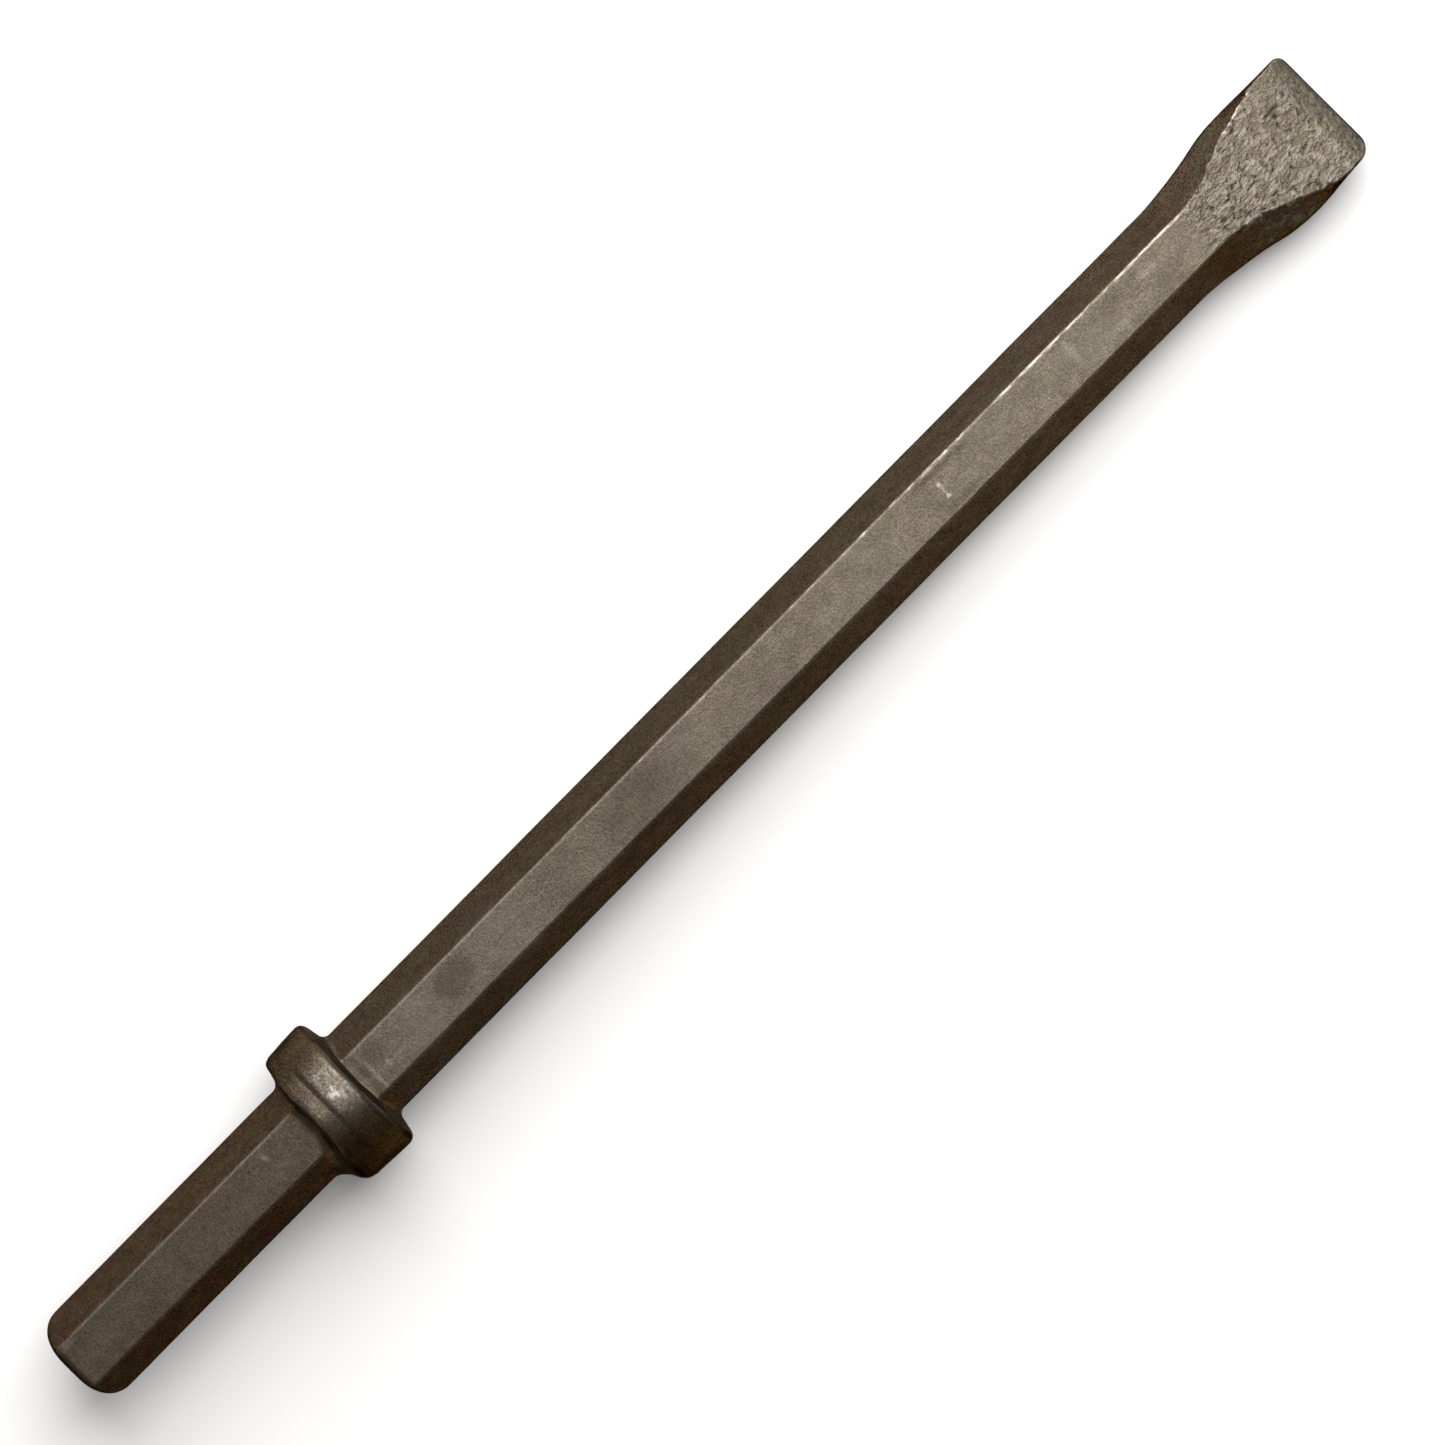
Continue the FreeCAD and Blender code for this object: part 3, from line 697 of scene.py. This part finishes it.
# Marks on the upper flat: outline, centre and half sizes along X and Y in millimetres, strength and
# softness. A rough outline is finely uneven, a ragged one wanders further.
LIGHT_MARKS = (
    ("rough", (300.1, 1.7), (0.5, 0.5), 0.48, 0.7),  # a nick with a dot at each end
    ("rough", (300.1, -1.9), (0.5, 0.5), 0.54, 0.7),
    ("rough", (300.1, -0.1), (0.3, 1.9), 0.2, 0.7),
    ("rough", (99.9, 0), (0.9, 6.5), 0.09, 0.7),  # rub marks in front of the collar
    ("rough", (103.4, -2.2), (0.5, 3.4), 0.16, 0.7),
    ("rough", (107.7, -2.0), (0.6, 0.9), 0.2, 0.7),
    ("rough", (108.0, -1.9), (8, 0.35), 0.07, 0.7),
    ("rough", (70.2, 3.1), (0.6, 1.2), 0.14, 0.7),  # small rubs on the shank
    ("rough", (4.6, 5.2), (2.4, 0.8), 0.1, 0.7),
    ("rough", (345.5, 0.5), (0.9, 4.2), 0.08, 0.7),  # small rubs towards the blade
    ("rough", (358.5, -2.6), (3.2, 0.9), 0.06, 0.7),
    ("rough", (371.5, 2.2), (3.2, 0.7), 0.1, 0.7),
)
DARK_MARKS = (
    ("ragged", (133.2, 1.3), (5.9, 4.2), 0.4, 0.25),  # the blotch in front of the collar
    ("ragged", (106.6, 2.6), (2.6, 3), 0.3, 0.4),
    ("rough", (101.9, 0.8), (0.8, 5.0), 0.3, 0.7),
    ("ragged", (151.5, 0.2), (7, 0.4), 0.26, 0.7),
    ("rough", (303, -4.6), (5.4, 0.8), 0.42, 0.7),  # a dark line to each side of the nick
    ("ragged", (303.5, 4.5), (9, 0.8), 0.5, 0.7),
    ("rough", (314, 0), (0.5, 4.5), 0.16, 0.7),
    ("ragged", (170, 0), (7, 9), 0.18, 0.7),  # soft dark bands right across the flat
    ("ragged", (195, 0), (14, 9), 0.38, 0.9),
    ("ragged", (237, 0), (9, 9), 0.1, 0.9),
    ("rough", (361.5, 3.8), (2, 0.9), 0.22, 0.7),
    ("ragged", (383, 0), (6, 9), 0.08, 0.9),
)
PALE_MARKS = (
    ("ragged", (121, 0), (5, 9), 0.22, 0.8),  # soft pale bands between the dark ones
    ("ragged", (149, 0), (7, 9), 0.23, 0.8),
    ("ragged", (11, 0), (4, 3), 0.1, 0.8),
    ("ragged", (217, 0), (9, 9), 0.09, 0.9),
    ("ragged", (270, 0), (12, 9), 0.18, 0.9),
    ("ragged", (316, 0), (10, 9), 0.17, 0.9),
    ("ragged", (350, -1), (8, 4), 0.2, 0.7),
)

# Bare patches on the collar, placed where its top reflects the key light and partly a painted highlight:
# centre and half sizes along X, Y and Z, softness and strength.
BARE_PATCHES_AND_PAINTED_HIGHLIGHT = (
    ((93.7, 2.6, 19.5), (1.6, 1.7, 3), 0.6, 1.0),
    ((93.1, 7.4, 18.2), (1.0, 1.7, 3), 0.8, 0.42),
    ((94.9, 6.6, 18.3), (1.8, 3.2, 3), 0.8, 0.34),
    ((94.6, 1.6, 19.5), (2.6, 3.6, 3), 0.8, 0.4),
    ((87.5, 2.4, 19.0), (1.5, 2.4, 3), 0.8, 0.2),
)


def add(tree, kind, inputs, **settings):
    """Adds a node with these settings; inputs are values, or outputs of other nodes to join."""
    node = tree.nodes.new(kind)
    for name, value in settings.items():
        setattr(node, name, value)
    for name, value in inputs.items():
        if isinstance(value, bpy.types.NodeSocket):
            tree.links.new(value, node.inputs[name])
        else:
            node.inputs[name].default_value = value
    return node


def math_node(tree, operation, first, second):
    """The result of one calculation with two values."""
    return add(tree, "ShaderNodeMath", {0: first, 1: second}, operation=operation).outputs[0]


def product(tree, *factors):
    """All the factors multiplied."""
    result = factors[0]
    for factor in factors[1:]:
        result = math_node(tree, "MULTIPLY", result, factor)
    return result


def remap(tree, value, low, high, to_low=0.0, to_high=1.0):
    """Takes low..high smoothly to to_low..to_high and stays there outside."""
    inputs = {"Value": value, "From Min": low, "From Max": high, "To Min": to_low, "To Max": to_high}
    return add(tree, "ShaderNodeMapRange", inputs, interpolation_type="SMOOTHSTEP").outputs[0]


def between(tree, value, low, high, soft):
    """1 between low and high, fading to 0 over the soft distance outside. All in millimetres."""
    rise = remap(tree, value, (low - soft) * MM, low * MM)
    fall = remap(tree, value, high * MM, (high + soft) * MM, 1.0, 0.0)
    return math_node(tree, "MULTIPLY", rise, fall)


def noise(tree, vector, size, detail=2.0, roughness=0.5, distortion=0.0):
    """Noise from 0 to 1 whose features are about size millimetres across."""
    inputs = {"Vector": vector, "Scale": 1 / (size * MM), "Detail": detail, "Roughness": roughness,
              "Distortion": distortion}
    return add(tree, "ShaderNodeTexNoise", inputs).outputs[0]


def stretched(tree, vector, factor):
    """The same coordinates with X shortened, so that textures run along the bar."""
    return add(tree, "ShaderNodeMapping", {"Vector": vector, "Scale": (1 / factor, 1, 1)}).outputs[0]


def wandering(tree, place, size, reach):
    """The coordinates, randomly shifted by up to about reach millimetres, for ragged outlines."""
    inputs = {"Vector": place, "Scale": 1 / (size * MM), "Detail": 2.0}
    wander = add(tree, "ShaderNodeTexNoise", inputs).outputs[1]
    centred = add(tree, "ShaderNodeVectorMath", {0: wander, 1: (0.5, 0.5, 0.5)}, operation="SUBTRACT")
    shift = add(tree, "ShaderNodeVectorMath", {0: centred.outputs[0], "Scale": 2 * reach * MM},
                operation="SCALE")
    return add(tree, "ShaderNodeVectorMath", {0: place, 1: shift.outputs[0]}).outputs[0]


def mix(tree, factor, first, second, blend="MIX"):
    """Blends from the first colour to the second by the factor."""
    node = tree.nodes.new("ShaderNodeMix")
    node.data_type, node.blend_type = "RGBA", blend
    for index, value in ((0, factor), (6, first), (7, second)):
        if isinstance(value, bpy.types.NodeSocket):
            tree.links.new(value, node.inputs[index])
        else:
            node.inputs[index].default_value = value
    return node.outputs[2]


def attribute(tree, name):
    """A value that the mesh stores for each vertex."""
    return add(tree, "ShaderNodeAttribute", {}, attribute_name=name).outputs["Fac"]


def spot(tree, place, centre, half_sizes, soft):
    """1 in a soft ellipsoid about the centre, 0 outside it. The sizes are in millimetres."""
    scale = [1 / (size * MM) for size in half_sizes]
    shift = [-c * MM * k for c, k in zip(centre, scale)]
    local = add(tree, "ShaderNodeMapping", {"Vector": place, "Location": shift, "Scale": scale})
    reach = add(tree, "ShaderNodeVectorMath", {0: local.outputs[0]}, operation="LENGTH").outputs[1]
    return remap(tree, reach, 1 - soft, 1 + soft, 1.0, 0.0)


def largest(tree, values):
    """The largest of the values at each place."""
    result = values[0]
    for value in values[1:]:
        result = math_node(tree, "MAXIMUM", result, value)
    return result


def tinted(tree, factor, colour, tint):
    """The colour multiplied by the tint, as far as the factor says."""
    return mix(tree, factor, colour, tint, "MULTIPLY")


def scale_colour(tree, place, x):
    """Forge scale: a darker shank, which is painted shade for part of the light's fall-off along the bar, a
    lighter body, browner sides, olive and purple-brown clouds.
    """
    past_collar = remap(tree, x, (SEAT_X + 2) * MM, (RETAINER_X + 2) * MM)
    colour = mix(tree, past_collar, SHANK_SCALE_WITH_PAINTED_SHADE, BODY_SCALE)
    brown = attribute(tree, "brown")
    clouds = noise(tree, stretched(tree, place, 1.6), 7, 3.0, 0.6, 0.3)
    colour = tinted(tree, remap(tree, clouds, 0.52, 0.66), colour, PURPLE_CLOUD)
    colour = tinted(tree, remap(tree, clouds, 0.48, 0.34), colour, OLIVE_CLOUD)
    colour = tinted(tree, brown, colour, BROWN)
    colour = tinted(tree, attribute(tree, "deep"), colour, DEEP_BROWN_AND_PAINTED_SHADE)
    rust = noise(tree, stretched(tree, place, 1.6), 3.2, 2.0, 0.55)
    colour = tinted(tree, product(tree, remap(tree, rust, 0.5, 0.66), brown), colour, RUST)
    colour = tinted(tree, product(tree, remap(tree, rust, 0.5, 0.34), brown), colour, RUST_GAP)
    return tinted(tree, 1.0, colour, scale_mottle_and_painted_shading(tree, place, brown))


def scale_mottle_and_painted_shading(tree, place, brown):
    """Light and dark: soft blotches, a grain that is stronger where the scale is brown, and the painted
    light and shade that the mesh stores per vertex.
    """
    shade = remap(tree, noise(tree, stretched(tree, place, 1.3), 4, 5.0, 0.72), 0.3, 0.7, 0.86, 1.14)
    contrast = math_node(tree, "ADD", product(tree, brown, 0.35), 0.45)
    grain = remap(tree, noise(tree, place, 0.45, 2.0, 0.7), 0.2, 0.8,
                  math_node(tree, "SUBTRACT", 1.0, contrast), math_node(tree, "ADD", 1.0, contrast))
    mottle_and_painted_shading = product(tree, shade, grain, attribute(tree, "mottle_and_painted_shading"))
    return add(tree, "ShaderNodeCombineColor", {0: mottle_and_painted_shading, 1: mottle_and_painted_shading, 2: mottle_and_painted_shading}).outputs[0]


def worn_edges_and_painted_highlight(tree, place, x):
    """Where the corners of the bar are rubbed bright, partly as painted highlight: most of all towards the
    blade.
    """
    streaks = noise(tree, stretched(tree, place, 5), 1.0, 4.0, 0.65)
    rubbed = remap(tree, x, 90 * MM, 380 * MM, 0.0, 0.1)
    hard = largest(tree, [between(tree, x, 296, 307, 3), between(tree, x, 326, 440, 4)])
    chance = math_node(tree, "ADD", streaks, rubbed)
    chance = math_node(tree, "ADD", chance, product(tree, hard, 0.12))
    gap = between(tree, x, 356, 362, 5)
    chance = math_node(tree, "SUBTRACT", chance, product(tree, gap, 0.09))
    streaky = remap(tree, chance, 0.58, 0.82, 0.0, 0.75)
    faint = remap(tree, x, 10 * MM, 300 * MM, 0.085, 0.06)
    # the steady faint line along the corners is partly painted highlight
    steady = product(tree, faint, remap(tree, streaks, 0.3, 0.6, 0.5, 1.2))
    return product(tree, math_node(tree, "MAXIMUM", streaky, steady), attribute(tree, "edge"))


def upper_marks(tree, place):
    """How strong the light marks, the dark stains and the pale stains on the upper flat are."""
    outlines = {"ragged": wandering(tree, place, 2.5, 1.3), "rough": wandering(tree, place, 0.8, 0.5)}
    strengths = []
    for marks in (LIGHT_MARKS, DARK_MARKS, PALE_MARKS):
        shapes = []
        for outline, centre, half_sizes, strength, soft in marks:
            shape = spot(tree, outlines[outline], (*centre, HEX_HALF), (*half_sizes, 3), soft)
            shapes.append(product(tree, shape, strength))
        strengths.append(largest(tree, shapes))
    return strengths


def bare_patches_and_painted_highlight(tree, place):
    """Bright bare metal on the collar, in ragged patches where it faces up and towards +Y, towards the key
    light, so partly a painted highlight.
    """
    ragged = wandering(tree, place, 1.5, 1.4)
    mottle = remap(tree, noise(tree, place, 0.9, 3.0, 0.6), 0.35, 0.65)
    patches = largest(tree, [product(tree, spot(tree, ragged, centre, half_sizes, soft), strength)
                             for centre, half_sizes, soft, strength in BARE_PATCHES_AND_PAINTED_HIGHLIGHT])
    patches = product(tree, patches, math_node(tree, "ADD", mottle, 0.3))
    return math_node(tree, "MAXIMUM", patches, product(tree, attribute(tree, "polish_and_painted_highlight"), mottle, 0.2))


def surface_bump(tree, place, x):
    """Fine grain of the scale, coarser on the blade."""
    fine = noise(tree, place, 0.6, 2.0, 0.6)
    grain = add(tree, "ShaderNodeBump", {"Height": fine, "Distance": 0.045 * MM, "Strength": 1.0})
    coarse = noise(tree, stretched(tree, place, 1.5), 0.8, 3.0, 0.6, 0.6)
    on_blade = product(tree, remap(tree, x, (TIP_X - 46) * MM, (TIP_X - 41) * MM),
                       remap(tree, x, (TIP_X - 5) * MM, (TIP_X - 4.2) * MM, 1.0, 0.1),
                       remap(tree, attribute(tree, "brown"), 0.4, 1.0, 1.0, 0.2))
    rough = add(tree, "ShaderNodeBump", {"Height": coarse, "Distance": 0.25 * MM,
                                         "Strength": on_blade, "Normal": grain.outputs[0]})
    return rough.outputs[0]


def relief_colour(tree, colour):
    """Painted light on the blade's raised marks and painted shade in its pits."""
    relief = attribute(tree, "relief")
    colour = mix(tree, remap(tree, relief, 0.0, 0.1), colour, PAINTED_RIDGE_LIGHT)
    return mix(tree, remap(tree, relief, -0.03, -0.13, 0.0, 0.8), colour, PAINTED_PIT_SHADE_AND_LAND)


def ground_bevels(tree, place, x, colour):
    """Ground metal on the bevels, tarnished towards the edge, and the dark land of the edge."""
    ragged_x = add(tree, "ShaderNodeSeparateXYZ", {0: wandering(tree, place, 2.0, 1.0)}).outputs[0]
    bevel = remap(tree, ragged_x, (TIP_X - 5.2) * MM, (TIP_X - 3.4) * MM)
    patchy = remap(tree, noise(tree, place, 0.9, 3.0, 0.65), 0.3, 0.7)
    ground = mix(tree, patchy, GROUND_DARK, GROUND_LIGHT)
    tarnish = remap(tree, x, (TIP_X - 3.0) * MM, (TIP_X - 0.8) * MM, 0.0, 0.38)
    ground = mix(tree, tarnish, ground, TARNISH)
    colour = mix(tree, product(tree, bevel, 0.6), colour, ground)
    land = remap(tree, x, (TIP_X - 0.9) * MM, (TIP_X - 0.2) * MM, 0.0, 0.6)
    return mix(tree, land, colour, PAINTED_PIT_SHADE_AND_LAND)


def steel_colour(tree, place, x):
    """Scale with its marks and stains, then ground and rubbed metal over it; painted light, shade and
    highlights are part of these colours.
    """
    colour = relief_colour(tree, scale_colour(tree, place, x))
    light_marks, stains, pale = upper_marks(tree, place)
    colour = mix(tree, pale, colour, PALE_STAIN)
    colour = mix(tree, stains, colour, DARK_STAIN)
    colour = ground_bevels(tree, place, x, colour)
    bright = largest(tree, [worn_edges_and_painted_highlight(tree, place, x), light_marks, bare_patches_and_painted_highlight(tree, place)])
    return mix(tree, bright, colour, BARE_METAL_AND_PAINTED_HIGHLIGHT)


def steel_material():
    """Scaled and worn steel, with light and shade painted into its colour."""
    material = bpy.data.materials.new("scaled_steel")
    material.use_nodes = True
    tree = material.node_tree
    place = add(tree, "ShaderNodeTexCoord", {}).outputs["Object"]
    x = add(tree, "ShaderNodeSeparateXYZ", {0: place}).outputs[0]
    shader = tree.nodes["Principled BSDF"]
    shader.inputs["Metallic"].default_value = 1.0
    shader.inputs["Specular Tint"].default_value = GRAZING_TINT
    tree.links.new(steel_colour(tree, place, x), shader.inputs["Base Color"])
    roughness = remap(tree, noise(tree, place, 5), 0.3, 0.7, 0.38, 0.46)
    tree.links.new(roughness, shader.inputs["Roughness"])
    tree.links.new(surface_bump(tree, place, x), shader.inputs["Normal"])
    return material


# ---------------------------------------------------------------- studio
# Places and sizes in metres, power in watts.
KEY_LEAN = 32  # degrees from straight above, towards +Y
KEY_DISTANCE = 1.3
KEY_X = 1.0  # past the blade's end, so that the light falls back along the bar
KEY_SIZE = (1.7, 2.0)
KEY_POWER = 58
KEY_COLOUR = (1.0, 0.985, 0.96)
FILL = 0.4

FLOOR_HALF = 8.0
FLOOR_COLOUR = (0.78, 0.78, 0.78, 1)

CAMERA_TURN = 45.34  # degrees between the bar and the frame's lower edge
CAMERA_TILT = -2.3  # degrees about the bar
AIM_RIGHT, AIM_UP = 0.0059, 0.0031  # from the middle of the bar to the middle of the frame
FRAME_WIDTH = 0.3504
LENS, SENSOR = 257.0, 36.0  # in millimetres


def make_floor():
    """A pale floor that the bit lies on, touching the collar's rim and the blade's heel."""
    collar_x, heel_x = (RETAINER_X - 3) * MM, (TIP_X - 52) * MM
    collar_z, heel_z = -(COLLAR_RAD + 0.1) * MM, -(HEX_HALF + 0.05) * MM
    slope = math.atan2(heel_z - collar_z, heel_x - collar_x)
    mesh = bpy.data.meshes.new("floor")
    corners = [(FLOOR_HALF * i, FLOOR_HALF * j, 0) for i, j in ((-1, -1), (1, -1), (1, 1), (-1, 1))]
    mesh.from_pydata(corners, [], [(0, 1, 2, 3)])
    floor = bpy.data.objects.new("floor", mesh)
    floor.location = (collar_x, 0, collar_z)
    floor.rotation_euler = (0, -slope, 0)
    material = bpy.data.materials.new("pale_floor")
    material.use_nodes = True
    shader = material.node_tree.nodes["Principled BSDF"]
    shader.inputs["Base Color"].default_value = FLOOR_COLOUR
    shader.inputs["Roughness"].default_value = 0.9
    shader.inputs["Specular IOR Level"].default_value = 0.0
    mesh.materials.append(material)
    bpy.context.scene.collection.objects.link(floor)


def make_key_light():
    """One big softbox above and to the +Y side, beyond the blade."""
    lean = math.radians(KEY_LEAN)
    to_light = Vector((0, KEY_DISTANCE * math.sin(lean), KEY_DISTANCE * math.cos(lean)))
    data = bpy.data.lights.new("key", "AREA")
    data.shape = "RECTANGLE"
    data.size, data.size_y = KEY_SIZE
    data.energy = KEY_POWER
    data.color = KEY_COLOUR
    lamp = bpy.data.objects.new("key", data)
    lamp.location = Vector((KEY_X, 0, 0)) + to_light
    lamp.rotation_euler = (-to_light).to_track_quat("-Z", "Y").to_euler()
    bpy.context.scene.collection.objects.link(lamp)


def make_fill_light():
    """An even white fill from all around."""
    world = bpy.data.worlds.new("studio")
    world.use_nodes = True
    background = world.node_tree.nodes["Background"]
    background.inputs["Color"].default_value = (1, 1, 1, 1)
    background.inputs["Strength"].default_value = FILL
    bpy.context.scene.world = world


def make_camera():
    """Looks down on the bit, which runs up to the right, from slightly to its +Y side."""
    turn = math.radians(CAMERA_TURN)
    right = Vector((math.cos(turn), -math.sin(turn), 0))
    up = Vector((math.sin(turn), math.cos(turn), 0))
    aim = Vector((CAD_HIGH.x / 2, 0, 0)) + right * AIM_RIGHT + up * AIM_UP
    tilt = Matrix.Rotation(math.radians(CAMERA_TILT), 3, "X")
    axes = Matrix((right, up, Vector((0, 0, 1)))).transposed()
    pose = (tilt @ axes).to_4x4()
    pose.translation = aim + tilt @ Vector((0, 0, FRAME_WIDTH * LENS / SENSOR))
    data = bpy.data.cameras.new("camera")
    data.lens, data.sensor_width = LENS, SENSOR
    data.clip_start, data.clip_end = 0.01, 100
    camera = bpy.data.objects.new("camera", data)
    camera.matrix_world = pose
    bpy.context.scene.collection.objects.link(camera)
    bpy.context.scene.camera = camera


# ---------------------------------------------------------------- the scene
bpy.context.scene.view_settings.view_transform = "Standard"
chisel = build_chisel()
chisel.data.materials.append(steel_material())
make_floor()
make_key_light()
make_fill_light()
make_camera()
